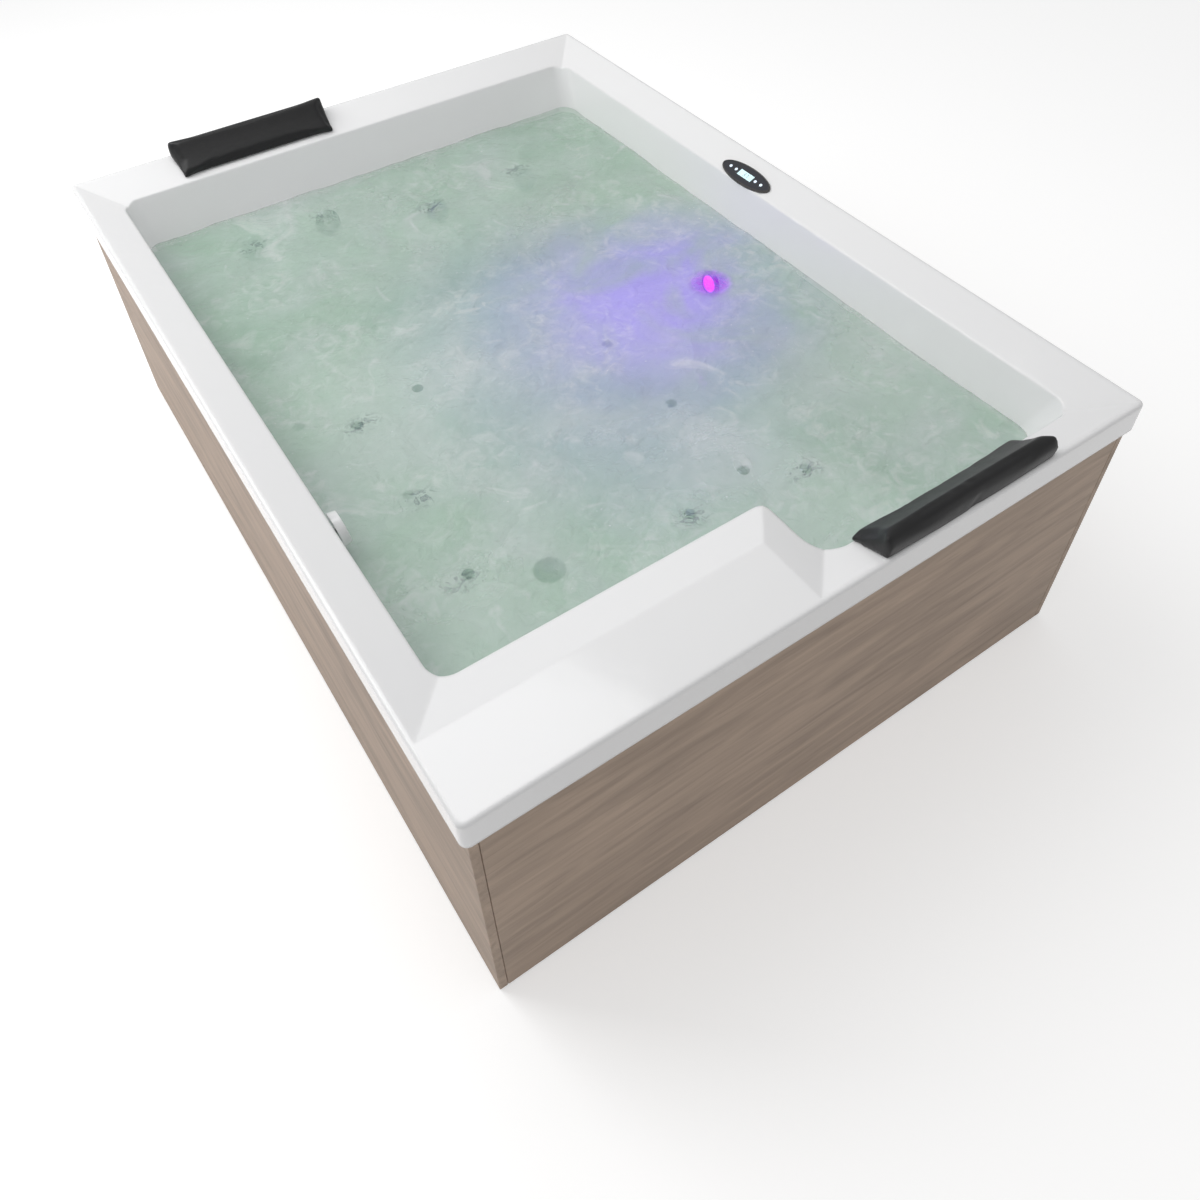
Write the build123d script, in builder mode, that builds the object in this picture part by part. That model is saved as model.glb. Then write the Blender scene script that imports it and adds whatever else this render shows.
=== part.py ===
"""Two-person hot tub with a shelf, two headrests, hydro jets and wood-look aprons.

Millimetres. X runs across the tub, Y along it and Z up. The origin is on the floor, below the
middle of the rim. The shelf is at the front left. One bather lies on the left with the head at
the back, the other on the right with the head at the front.
"""

import os
from math import atan, cos, radians, sin, tan

from build123d import *

os.makedirs("parts", exist_ok=True)

# Overall size
length = 1900.0
width = 1400.0
height = 640.0

# Moulded shell
wall = 7.0
skirt_height = 62.0
rim_corner = 14.0
crest_radius = 6.0
crest_strip = 9.0
rim_drop = 32.0
side_slope = 83.0
back_slope = 98.0
front_slope = 80.0
basin_corner = 40.0
floor_chamfer = 26.0
floor_height = 145.0
side_draft = radians(6.6)
foot_draft = radians(12.0)
recline = radians(22.0)

# Shelf at the front left
shelf_length = 630.0
shelf_depth = 142.0
shelf_side_slope = 75.0
shelf_back_slope = 86.0
notch_radius = 22.0
alcove_radius = 60.0

# Clearances
seat_gap = 0.3
running_gap = 0.1

# Heights and lines that several pieces share
rim_edge = height - rim_drop
skirt_foot = height - skirt_height
basin_foot = floor_height - wall
edge_x = width / 2 - side_slope
edge_back = length / 2 - back_slope
edge_front = -length / 2 + front_slope
crease_x = -width / 2 + shelf_length
crease_y = -length / 2 + shelf_depth
shelf_edge_x = crease_x + shelf_side_slope
shelf_edge_y = crease_y + shelf_back_slope


def rim_corners():
    """Corners of the line where the rim starts to slope down, from the shelf round to the left."""
    side = width / 2 - crest_strip
    end = length / 2 - crest_strip
    return [
        (-side, crease_y),
        (crease_x, crease_y),
        (crease_x, -end),
        (side, -end),
        (side, end),
        (-side, end),
    ]


def basin_corners(z, skin=0.0):
    """Corners of the basin's L-shaped plan at height z, moved out by a skin square to each wall."""
    depth = rim_edge - z
    side = depth * tan(side_draft) - skin / cos(side_draft)
    foot = depth * tan(foot_draft) - skin / cos(foot_draft)
    head = depth * tan(recline) - skin / cos(recline)
    return [
        (-edge_x + side, shelf_edge_y + foot),
        (shelf_edge_x + side, shelf_edge_y + foot),
        (shelf_edge_x + side, edge_front + head),
        (edge_x - side, edge_front + head),
        (edge_x - side, edge_back - head),
        (-edge_x + side, edge_back - head),
    ]


def slope_corners(z, drop=0.0):
    """Corners of the rim slopes' plan at height z; a drop of one wall gives their underside."""
    share = (height - drop - z) / rim_drop
    foot = basin_corners(rim_edge - drop, drop)
    return [
        (x + (to_x - x) * share, y + (to_y - y) * share)
        for (x, y), (to_x, to_y) in zip(rim_corners(), foot)
    ]


def crossed(across, along):
    """Block with one section seen from the front and another seen from the side."""
    with BuildPart() as block:
        with BuildSketch(Plane.XZ):
            with BuildLine():
                Polyline(*across, close=True)
            make_face()
        extrude(amount=length, both=True)
        with BuildSketch(Plane.YZ):
            with BuildLine():
                Polyline(*along, close=True)
            make_face()
        extrude(amount=width, both=True, mode=Mode.INTERSECT)
    return block.part


def l_block(top, foot, upper, lower):
    """L-shaped block with flat walls, from the six corners of its top and of its foot."""
    across = [(upper[5][0], top), (upper[3][0], top), (lower[3][0], foot), (lower[5][0], foot)]
    along = [(upper[2][1], top), (upper[4][1], top), (lower[4][1], foot), (lower[2][1], foot)]
    shelf_across = [(-width, top), (upper[1][0], top), (lower[1][0], foot), (-width, foot)]
    shelf_along = [(-length, top), (upper[1][1], top), (lower[1][1], foot), (-length, foot)]
    with BuildPart() as block:
        add(crossed(across, along))
        add(crossed(shelf_across, shelf_along), mode=Mode.SUBTRACT)
    return block.part


def basin_block(top, skin=0.0):
    """Basin up to height top, rounded at its corners and floor, as a void or with a skin round it."""
    foot = floor_height - skin
    with BuildPart() as block:
        add(l_block(top, foot, basin_corners(top, skin), basin_corners(foot, skin)))
        middle = (top + foot) / 2
        corners = [Vector(x, y, middle) for x, y in basin_corners(middle, skin)]
        outer = basin_corner + skin
        radii = [outer, notch_radius - skin, alcove_radius + skin, outer, outer, outer]
        for corner, radius in zip(corners, radii):
            fillet(block.edges().sort_by_distance(corner)[0], radius)
        floor_line = block.faces().sort_by(Axis.Z)[0].outer_wire().edges()
        if skin:
            chamfer(floor_line, floor_chamfer)
        else:
            fillet(floor_line, basin_corner)
    return block.part


# Walls of the basin and slopes of the rim, as planes that look at the bather
def back_wall(x, z):
    y = edge_back - (rim_edge - z) * tan(recline)
    return Plane(origin=(x, y, z), x_dir=(1, 0, 0), z_dir=(0, -cos(recline), sin(recline)))


def front_wall(x, z):
    y = edge_front + (rim_edge - z) * tan(recline)
    return Plane(origin=(x, y, z), x_dir=(1, 0, 0), z_dir=(0, cos(recline), sin(recline)))


def shelf_wall(x, z):
    y = shelf_edge_y + (rim_edge - z) * tan(foot_draft)
    return Plane(origin=(x, y, z), x_dir=(1, 0, 0), z_dir=(0, cos(foot_draft), sin(foot_draft)))


def side_wall(side, y, z):
    """Left wall for side -1, right wall for side 1."""
    x = side * (edge_x - (rim_edge - z) * tan(side_draft))
    return Plane(origin=(x, y, z), x_dir=(0, 1, 0), z_dir=(-side * cos(side_draft), 0, sin(side_draft)))


def side_slope_plane(y, inset):
    """Right rim slope, at a distance inset from the rim's outer edge."""
    tilt = atan(rim_drop / (side_slope - crest_strip))
    z = height - (inset - crest_strip) * tan(tilt)
    return Plane(origin=(width / 2 - inset, y, z), x_dir=(0, 1, 0), z_dir=(-sin(tilt), 0, cos(tilt)))


def end_slope_plane(end, x, inset):
    """Front rim slope for end -1, back rim slope for end 1."""
    run = (back_slope if end > 0 else front_slope) - crest_strip
    tilt = atan(rim_drop / run)
    z = height - (inset - crest_strip) * tan(tilt)
    origin = (x, end * (length / 2 - inset), z)
    return Plane(origin=origin, x_dir=(1, 0, 0), z_dir=(0, -end * sin(tilt), cos(tilt)))


# Places of the fittings in the shell
seat_offset = 262.0
lumbar_pitch = 200.0
lumbar_height = 424.0
foot_offset = 276.0
foot_pitch = 278.0
foot_height = 358.0
jets = {
    "far_lumbar_left": back_wall(-seat_offset - lumbar_pitch / 2, lumbar_height),
    "far_lumbar_right": back_wall(-seat_offset + lumbar_pitch / 2, lumbar_height),
    "far_foot_left": back_wall(foot_offset - foot_pitch / 2, foot_height),
    "far_foot_right": back_wall(foot_offset + foot_pitch / 2, foot_height),
    "near_lumbar_left": front_wall(seat_offset - lumbar_pitch / 2, lumbar_height),
    "near_lumbar_right": front_wall(seat_offset + lumbar_pitch / 2, lumbar_height),
    "near_foot_left": shelf_wall(-foot_offset - foot_pitch / 2, foot_height),
    "near_foot_right": shelf_wall(-foot_offset + foot_pitch / 2, foot_height),
}
injector_column = 340.0
injector_rows = [-230.0, 50.0, 330.0]
side_injectors = [(155.0, -365.0), (461.0, -408.0)]
injectors = [(-injector_column, y) for y in injector_rows]
injectors += [(injector_column, -y) for y in injector_rows]
injectors += side_injectors
injectors += [(-x, -y) for x, y in side_injectors]
drain_at = (-190.0, -320.0)
overflow_at = side_wall(-1, drain_at[1], 556.0)
light_at = side_wall(1, 114.0, 310.0)
suction_at = shelf_wall(-foot_offset, 230.0)
panel_at = side_slope_plane(80.0, 62.0)

# Sizes of the fittings where they pass through the shell
jet_neck = 21.5
light_neck = 26.0
suction_neck = 38.0
overflow_neck = 20.0
drain_neck = 23.8
injector_neck = 8.0
peg_radius = 5.0
peg_length = 22.0
peg_pitch = 260.0
peg_inset = 68.0
panel_cutout = (140.0, 30.0)
panel_cutout_corner = 4.0

pegs = {
    end: [end_slope_plane(end, -end * seat_offset + side * peg_pitch / 2, peg_inset) for side in (-1, 1)]
    for end in (-1, 1)
}

# Tub shell: one moulding with a turned-down rim, sloping edges, a shelf and an L-shaped basin
rim_under = rim_edge - wall
slope_lap = 12.0
cut_margin = 2.0
with BuildPart() as tub_shell:
    with BuildSketch(Plane.XY.offset(skirt_foot)):
        RectangleRounded(width, length, rim_corner)
    extrude(amount=skirt_height)
    fillet(tub_shell.faces().sort_by(Axis.Z)[-1].outer_wire().edges(), crest_radius)
    with BuildSketch(Plane.XY.offset(skirt_foot)):
        RectangleRounded(width - 2 * wall, length - 2 * wall, rim_corner - wall)
    extrude(amount=skirt_height - wall, mode=Mode.SUBTRACT)
    # Outside of the slopes and of the basin, then their inside
    under = height - wall
    under_foot = rim_under - slope_lap
    add(l_block(under, under_foot, rim_corners(), slope_corners(under_foot, wall)))
    add(basin_block(rim_under, wall))
    over = height + cut_margin
    over_foot = rim_edge - slope_lap
    add(l_block(over, over_foot, slope_corners(over), slope_corners(over_foot)), mode=Mode.SUBTRACT)
    add(basin_block(height), mode=Mode.SUBTRACT)
    # Holes for the fittings
    with Locations(*jets.values()):
        Cylinder(jet_neck + running_gap, 4 * wall, mode=Mode.SUBTRACT)
    with Locations(light_at):
        Cylinder(light_neck + running_gap, 4 * wall, mode=Mode.SUBTRACT)
    with Locations(suction_at):
        Cylinder(suction_neck + running_gap, 4 * wall, mode=Mode.SUBTRACT)
    with Locations(overflow_at):
        Cylinder(overflow_neck + running_gap, 4 * wall, mode=Mode.SUBTRACT)
    with Locations((*drain_at, floor_height)):
        Cylinder(drain_neck + running_gap, 4 * wall, mode=Mode.SUBTRACT)
    with Locations(*[(x, y, floor_height) for x, y in injectors]):
        Cylinder(injector_neck + running_gap, 4 * wall, mode=Mode.SUBTRACT)
    with Locations(*pegs[-1], *pegs[1]):
        Cylinder(peg_radius + running_gap, 4 * wall, mode=Mode.SUBTRACT)
    with BuildSketch(panel_at):
        RectangleRounded(*panel_cutout, panel_cutout_corner)
    extrude(amount=2 * wall, both=True, mode=Mode.SUBTRACT)
tub_shell.part.label = "tub_shell"
export_step(tub_shell.part, "parts/tub_shell.step")

# Floor board: the stiffening board laminated under the basin's floor
board_thickness = 18.0
board_size = (620.0, 1230.0)
board_centre_y = 5.0
board_top = basin_foot
injector_nut = 15.0
board_injectors = [(x, y) for x, y in injectors if abs(x) < board_size[0] / 2]
drain_body_radius = 30.0
fitting_room = 3.0
with BuildPart() as floor_board:
    with BuildSketch(Plane.XY.offset(board_top)):
        with Locations((0, board_centre_y)):
            Rectangle(*board_size)
        with Locations(*board_injectors):
            Circle(injector_nut + fitting_room, mode=Mode.SUBTRACT)
        with Locations(drain_at):
            Circle(drain_body_radius + fitting_room, mode=Mode.SUBTRACT)
    extrude(amount=-board_thickness)
floor_board.part.label = "floor_board"
export_step(floor_board.part, "parts/floor_board.step")

# Welded steel base: square tubes, long ones below and cross ones above
tube = 30.0
tube_wall = 2.0
cross_top = board_top - board_thickness
cross_foot = cross_top - tube
long_foot = cross_foot - tube
long_column = 520.0
apron_thickness = 16.0
apron_inset = 10.0
apron_inner_x = width / 2 - apron_inset - apron_thickness
apron_inner_y = length / 2 - apron_inset - apron_thickness
cross_rows = [-880.0, -715.0, -500.0, 0.0, 500.0, 880.0]
foot_rows = [-800.0, 0.0, 800.0]
catch_depth = 12.0
stud_radius = 6.0
foot_places = [(side * long_column, y) for side in (-1, 1) for y in foot_rows]


def square_tube(plane, run):
    """Square tube that runs both ways from the middle of its section."""
    with BuildPart() as stick:
        with BuildSketch(plane):
            Rectangle(tube, tube)
            Rectangle(tube - 2 * tube_wall, tube - 2 * tube_wall, mode=Mode.SUBTRACT)
        extrude(amount=run / 2, both=True)
    return stick.part


with BuildPart() as long_rails:
    for side in (-1, 1):
        centre = Plane(origin=(side * long_column, 0, long_foot + tube / 2), z_dir=(0, 1, 0))
        add(square_tube(centre, 2 * (apron_inner_y - catch_depth)))
long_rails.part.label = "long_rails"
export_step(long_rails.part, "parts/long_rails.step")

with BuildPart() as cross_rails:
    for y in cross_rows:
        centre = Plane(origin=(0, y, cross_foot + tube / 2), z_dir=(1, 0, 0))
        add(square_tube(centre, 2 * apron_inner_x))
cross_rails.part.label = "cross_rails"
export_step(cross_rails.part, "parts/cross_rails.step")

# Rim battens: hardwood strips bonded under the rim, cut to the slope above them
batten_foot = 585.0
batten_width = 30.0
batten_outer = wall + seat_gap


slope_foot_corners = basin_corners(rim_under, wall)
side_pitch = rim_drop / (width / 2 - crest_strip - slope_foot_corners[3][0])
front_pitch = rim_drop / (length / 2 - crest_strip + slope_foot_corners[3][1])
back_pitch = rim_drop / (length / 2 - crest_strip - slope_foot_corners[4][1])


def batten_section(plane, pitch):
    """Batten's section, with X measured inwards from the rim's outer edge and Y up."""
    top = height - wall - seat_gap
    inner = batten_outer + batten_width
    with BuildSketch(plane) as section:
        with BuildLine():
            Polyline(
                (batten_outer, batten_foot),
                (inner, batten_foot),
                (inner, top - (inner - crest_strip) * pitch),
                (crest_strip, top),
                (batten_outer, top),
                close=True,
            )
        make_face()
    return section.sketch


side_batten_end = batten_outer + batten_width + seat_gap
with BuildPart() as rim_battens:
    for side in (-1, 1):
        edge = Plane(origin=(side * width / 2, 0, 0), x_dir=(-side, 0, 0), z_dir=(0, side, 0))
        extrude(batten_section(edge, side_pitch), amount=length / 2 - side_batten_end, both=True)
    for end, pitch in ((-1, front_pitch), (1, back_pitch)):
        edge = Plane(origin=(0, end * length / 2, 0), x_dir=(0, -end, 0), z_dir=(-end, 0, 0))
        extrude(batten_section(edge, pitch), amount=width / 2 - 2 * wall, both=True)
rim_battens.part.label = "rim_battens"
export_step(rim_battens.part, "parts/rim_battens.step")

# Posts from the ends of the cross rails up to the side battens
with BuildPart() as rim_posts:
    for side in (-1, 1):
        for y in cross_rows:
            post_x = side * (apron_inner_x - tube / 2)
            post_middle = (cross_top + batten_foot) / 2
            centre = Plane(origin=(post_x, y, post_middle), z_dir=(0, 0, 1))
            add(square_tube(centre, batten_foot - cross_top))
rim_posts.part.label = "rim_posts"
export_step(rim_posts.part, "parts/rim_posts.step")

# Levelling feet: eight-sided rubber pad, jacking stud and the nut welded under the rail
pad_radius = 28.0
pad_height = 14.0
nut_height = 10.0
nut_radius = 11.0


def foot_prisms(foot, radius, sides, rise):
    """One upright prism at each foot."""
    with BuildPart() as prisms:
        with BuildSketch(Plane.XY.offset(foot)):
            with Locations(*foot_places):
                RegularPolygon(radius, sides)
        extrude(amount=rise)
    return prisms.part


with BuildPart() as foot_pads:
    add(foot_prisms(0, pad_radius, 8, pad_height))
foot_pads.part.label = "foot_pads"
export_step(foot_pads.part, "parts/foot_pads.step")

with BuildPart() as foot_studs:
    add(foot_prisms(pad_height, stud_radius, 6, long_foot - nut_height - pad_height))
foot_studs.part.label = "foot_studs"
export_step(foot_studs.part, "parts/foot_studs.step")

with BuildPart() as foot_nuts:
    add(foot_prisms(long_foot - nut_height, nut_radius, 6, nut_height))
foot_nuts.part.label = "foot_nuts"
export_step(foot_nuts.part, "parts/foot_nuts.step")

# Aprons: wood-look boards. The side ones run the full length, the end ones stand between them
apron_foot = 4.0
apron_top = batten_foot - seat_gap
service_top = skirt_foot - 1.0
apron_joint = 0.8
apron_x = width / 2 - apron_inset
apron_y = length / 2 - apron_inset
apron_edge = 1.0
for side, name in ((-1, "apron_left"), (1, "apron_right")):
    with BuildPart() as side_apron:
        with BuildSketch(Plane.XY.offset(apron_foot)):
            with Locations((side * (apron_x - apron_thickness / 2), 0)):
                Rectangle(apron_thickness, 2 * apron_y)
        extrude(amount=apron_top - apron_foot)
        chamfer(side_apron.edges().filter_by(Axis.Z), apron_edge)
    side_apron.part.label = name
    export_step(side_apron.part, f"parts/{name}.step")

for end, name, top in ((-1, "apron_front", service_top), (1, "apron_back", apron_top)):
    with BuildPart() as end_apron:
        with BuildSketch(Plane.XY.offset(apron_foot)):
            with Locations((0, end * (apron_y - apron_thickness / 2))):
                Rectangle(2 * (apron_inner_x - apron_joint), apron_thickness)
        extrude(amount=top - apron_foot)
        chamfer(end_apron.edges().filter_by(Axis.Z), apron_edge)
    end_apron.part.label = name
    export_step(end_apron.part, f"parts/{name}.step")

# Magnet catches that hold the pull-off front apron, at the rail ends and under the front batten
catch_width = 40.0
catch_height = 40.0
upper_catch_x = 430.0
catch_chamfer = 1.5
with BuildPart() as magnet_catches:
    back_face = Plane(origin=(0, -apron_inner_y + catch_depth, 0), x_dir=(1, 0, 0), z_dir=(0, -1, 0))
    with BuildSketch(back_face):
        with Locations((-long_column, long_foot + tube / 2), (long_column, long_foot + tube / 2)):
            Rectangle(tube, tube)
        upper_z = batten_foot - catch_height / 2
        with Locations((-upper_catch_x, upper_z), (upper_catch_x, upper_z)):
            Rectangle(catch_width, catch_height)
    extrude(amount=catch_depth)
    rim_of_catch = magnet_catches.faces().filter_by(Axis.Y).group_by(Axis.Y)[0].edges()
    chamfer(rim_of_catch, catch_chamfer)
magnet_catches.part.label = "magnet_catches"
export_step(magnet_catches.part, "parts/magnet_catches.step")

# Headrests: wedge cushions of moulded foam, with two pegs each that push into the rim
headrest_length = 400.0
headrest_tip_inset = 88.0
headrest_heel_inset = 6.5
headrest_ridge_inset = 17.0
headrest_ridge_height = 50.0
headrest_tip = 9.0
headrest_tip_lean = 2.0
headrest_bulge = 3.0
headrest_bulge_share = 0.55
headrest_dish = 3.5
headrest_ridge_radius = 8.0
headrest_tip_radius = 3.0
headrest_back_radius = 14.0
headrest_end_chamfer = 3.0
peg_socket = 12.0
for end, name in ((-1, "headrest_near"), (1, "headrest_far")):
    slope = front_slope if end < 0 else back_slope
    pitch = rim_drop / (slope - crest_strip)
    tip_z = height - (headrest_tip_inset - crest_strip) * pitch + seat_gap
    seat_z = height + seat_gap
    tip = (headrest_tip_inset, tip_z)
    tip_top = (headrest_tip_inset + headrest_tip_lean, tip_z + headrest_tip)
    ridge = (headrest_ridge_inset, height + headrest_ridge_height)
    bulge_z = height + headrest_bulge_share * headrest_ridge_height
    bulge = (headrest_heel_inset - headrest_bulge, bulge_z)
    heel = (headrest_heel_inset, seat_z)
    bend = (crest_strip, seat_z)
    middle = Plane(
        origin=(-end * seat_offset, end * length / 2, 0), x_dir=(0, -end, 0), z_dir=(-end, 0, 0)
    )
    with BuildPart() as cushion:
        with BuildSketch(middle) as section:
            with BuildLine():
                Line(tip, tip_top)
                SagittaArc(tip_top, ridge, headrest_dish)
                Polyline(ridge, bulge, heel, bend, tip)
            make_face()
            fillet(section.vertices().sort_by_distance(ridge)[0], headrest_ridge_radius)
            fillet(section.vertices().sort_by_distance(bulge)[0], headrest_back_radius)
            fillet(section.vertices().sort_by_distance(tip_top)[0], headrest_tip_radius)
            fillet(section.vertices().sort_by_distance(tip)[0], headrest_tip_radius)
        extrude(amount=headrest_length / 2, both=True)
        chamfer(cushion.faces().filter_by(Axis.X).edges(), headrest_end_chamfer)
        with Locations(*pegs[end]):
            Cylinder(peg_radius + running_gap, 2 * peg_socket, mode=Mode.SUBTRACT)
    cushion.part.label = name
    export_step(cushion.part, f"parts/{name}.step")
    with BuildPart() as pair:
        for seat in pegs[end]:
            with BuildSketch(seat.offset(peg_socket - seat_gap)):
                Circle(peg_radius)
            extrude(amount=-peg_socket - peg_length + seat_gap)
    pair.part.label = f"{name}_pegs"
    export_step(pair.part, f"parts/{name}_pegs.step")

# Control panel on the right rim: oval bezel, glass, screen, four keys and the box below
panel_half = (82.0, 26.0)
bezel_height = 5.5
bezel_lip = 4.0
bezel_chamfer = 2.0
glass_drop = 0.8
screen_size = (47.0, 17.0)
key_radius = 3.8
key_places = [-54.0, -34.5, 34.5, 54.0]
key_travel = 0.6
key_proud = 0.7
key_guide = 0.2
box_depth = 18.0
glass_top = bezel_height - glass_drop
panel_axis = Axis(panel_at.origin, panel_at.z_dir)
glass_half = (panel_half[0] - bezel_lip, panel_half[1] - bezel_lip)
with BuildPart() as panel_bezel:
    with BuildSketch(panel_at):
        Ellipse(*panel_half)
    extrude(amount=bezel_height)
    chamfer(panel_bezel.faces().sort_by(panel_axis)[-1].edges(), bezel_chamfer)
    with BuildSketch(panel_at):
        Ellipse(*glass_half)
    extrude(amount=bezel_height, mode=Mode.SUBTRACT)
panel_bezel.part.label = "panel_bezel"
export_step(panel_bezel.part, "parts/panel_bezel.step")

with BuildPart() as panel_glass:
    with BuildSketch(panel_at):
        Ellipse(glass_half[0] - running_gap, glass_half[1] - running_gap)
        Rectangle(screen_size[0] + 2 * running_gap, screen_size[1] + 2 * running_gap, mode=Mode.SUBTRACT)
        with Locations(*[(x, 0) for x in key_places]):
            Circle(key_radius + key_guide, mode=Mode.SUBTRACT)
    extrude(amount=glass_top)
panel_glass.part.label = "panel_glass"
export_step(panel_glass.part, "parts/panel_glass.step")

with BuildPart() as panel_screen:
    with BuildSketch(panel_at):
        Rectangle(*screen_size)
    extrude(amount=glass_top)
panel_screen.part.label = "panel_screen"
export_step(panel_screen.part, "parts/panel_screen.step")

key_foot = key_travel + running_gap
for number, x in enumerate(key_places, start=1):
    with BuildPart() as key:
        with BuildSketch(panel_at.offset(key_foot)):
            with Locations((x, 0)):
                Circle(key_radius)
        extrude(amount=glass_top + key_proud - key_foot)
    key.part.label = f"panel_key_{number}"
    export_step(key.part, f"parts/panel_key_{number}.step")

with BuildPart() as panel_box:
    with BuildSketch(panel_at):
        box_corner = panel_cutout_corner - seat_gap
        RectangleRounded(panel_cutout[0] - 2 * seat_gap, panel_cutout[1] - 2 * seat_gap, box_corner)
    extrude(amount=-box_depth)
panel_box.part.label = "panel_box"
export_step(panel_box.part, "parts/panel_box.step")

# Hydro jets: housing through the wall, the ring in front and the nozzle that swivels in it
jet_bore = 17.0
jet_bore_depth = 16.0
jet_body = 30.0
jet_depth = 50.0
ring_radius = 33.0
ring_front = 27.0
ring_height = 5.0
ring_bore = 14.1
nozzle_radius = 13.4
nozzle_rise = 1.5
nozzle_half = 8.5
nozzle_chamfer = 4.5
nozzle_sides = 12
nozzle_bore = 4.5
jet_tail = wall + jet_depth


def turned(plane, corners):
    """Ring or plug turned about a plane's Z axis; each corner is a radius and a height."""
    axis_plane = Plane(origin=plane.origin, x_dir=plane.x_dir, z_dir=-plane.y_dir)
    with BuildPart() as piece:
        with BuildSketch(axis_plane):
            with BuildLine():
                Polyline(*corners, close=True)
            make_face()
        revolve(axis=Axis(plane.origin, plane.z_dir))
    return piece.part


def potted(plane, neck, body, depth):
    """Fitting with a round neck in the shell and a six-sided body behind it."""
    with BuildPart() as piece:
        with BuildSketch(plane.offset(-seat_gap)):
            Circle(neck)
        extrude(amount=seat_gap - wall)
        with BuildSketch(plane.offset(-wall)):
            RegularPolygon(body, 6)
        extrude(amount=wall - depth)
    return piece.part


ring_outline = [
    (ring_bore, 0),
    (ring_radius, 0),
    (ring_front, ring_height),
    (ring_bore, ring_height),
]
with BuildPart() as jet_housings:
    for plane in jets.values():
        add(potted(plane, jet_neck, jet_body, jet_tail))
        with BuildSketch(plane.offset(-jet_bore_depth)):
            Circle(jet_bore)
        extrude(amount=jet_bore_depth, mode=Mode.SUBTRACT)
jet_housings.part.label = "jet_housings"
export_step(jet_housings.part, "parts/jet_housings.step")

with BuildPart() as jet_rings:
    for plane in jets.values():
        add(turned(plane, ring_outline))
jet_rings.part.label = "jet_rings"
export_step(jet_rings.part, "parts/jet_rings.step")

for name, plane in jets.items():
    foot = plane.offset(nozzle_rise - nozzle_half)
    with BuildPart() as nozzle:
        with BuildSketch(foot):
            RegularPolygon(nozzle_radius, nozzle_sides)
        extrude(amount=2 * nozzle_half)
        ends = nozzle.faces().sort_by(Axis(foot.origin, foot.z_dir))
        chamfer(ends[0].edges() + ends[-1].edges(), nozzle_chamfer)
        with BuildSketch(foot):
            RegularPolygon(nozzle_bore, nozzle_sides)
        extrude(amount=2 * nozzle_half, mode=Mode.SUBTRACT)
    nozzle.part.label = f"nozzle_{name}"
    export_step(nozzle.part, f"parts/nozzle_{name}.step")

# Air injectors in the basin's floor: a low cap above, a body below
cap_radius = 15.0
cap_front = 10.0
cap_height = 4.0
injector_depth = 58.0
floor_spots = [Plane(origin=(x, y, floor_height)) for x, y in injectors]
cap_outline = [(0, 0), (cap_radius, 0), (cap_front, cap_height), (0, cap_height)]
with BuildPart() as injector_caps:
    for spot in floor_spots:
        add(turned(spot, cap_outline))
injector_caps.part.label = "injector_caps"
export_step(injector_caps.part, "parts/injector_caps.step")

with BuildPart() as injector_bodies:
    for spot in floor_spots:
        add(potted(spot, injector_neck, injector_nut, injector_depth))
injector_bodies.part.label = "injector_bodies"
export_step(injector_bodies.part, "parts/injector_bodies.step")

# Underwater light in the right wall: chrome bezel, lens and the lamp housing behind
light_radius = 34.0
light_front = 29.0
lens_radius = 22.0
light_bezel_height = 6.0
lamp_depth = 42.0
lamp_body = 34.0
light_bezel_outline = [
    (lens_radius + running_gap, 0),
    (light_radius, 0),
    (light_front, light_bezel_height),
    (lens_radius + running_gap, light_bezel_height),
]
with BuildPart() as light_bezel:
    add(turned(light_at, light_bezel_outline))
light_bezel.part.label = "light_bezel"
export_step(light_bezel.part, "parts/light_bezel.step")

with BuildPart() as light_lens:
    with BuildSketch(light_at):
        Circle(lens_radius)
    extrude(amount=light_bezel_height)
light_lens.part.label = "light_lens"
export_step(light_lens.part, "parts/light_lens.step")

with BuildPart() as light_housing:
    add(potted(light_at, light_neck, lamp_body, wall + lamp_depth))
light_housing.part.label = "light_housing"
export_step(light_housing.part, "parts/light_housing.step")

# Suction grille on the shelf wall, with upright slots
grille_radius = 50.0
grille_front = 38.0
grille_height = 9.0
slot_pitch = 10.0
slot_width = 4.0
slot_length = 52.0
slots = 5
grille_outline = [(0, 0), (grille_radius, 0), (grille_front, grille_height), (0, grille_height)]
with BuildPart() as suction_grille:
    add(turned(suction_at, grille_outline))
    with BuildSketch(suction_at):
        with GridLocations(slot_pitch, 0, slots, 1):
            Rectangle(slot_width, slot_length)
    extrude(amount=grille_height, mode=Mode.SUBTRACT)
suction_grille.part.label = "suction_grille"
export_step(suction_grille.part, "parts/suction_grille.step")

# Drain: flange on the basin's floor, and the pop-up plug that closes it
drain_flange_radius = 36.0
drain_flange_front = 32.0
drain_flange_height = 3.0
drain_bore = 19.0
plug_radius = 25.0
plug_front = 18.0
plug_height = 6.0
plug_stem = 5.0
stem_length = 40.0
drain_plane = Plane(origin=(*drain_at, floor_height))
flange_outline = [
    (drain_bore, 0),
    (drain_flange_radius, 0),
    (drain_flange_front, drain_flange_height),
    (drain_bore, drain_flange_height),
]
with BuildPart() as drain_flange:
    add(turned(drain_plane, flange_outline))
drain_flange.part.label = "drain_flange"
export_step(drain_flange.part, "parts/drain_flange.step")

plug_foot = drain_flange_height
plug_outline = [
    (0, plug_foot - stem_length),
    (plug_stem, plug_foot - stem_length),
    (plug_stem, plug_foot),
    (plug_radius, plug_foot),
    (plug_front, plug_foot + plug_height),
    (0, plug_foot + plug_height),
]
with BuildPart() as drain_plug:
    add(turned(drain_plane, plug_outline))
drain_plug.part.label = "drain_plug"
export_step(drain_plug.part, "parts/drain_plug.step")

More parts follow.
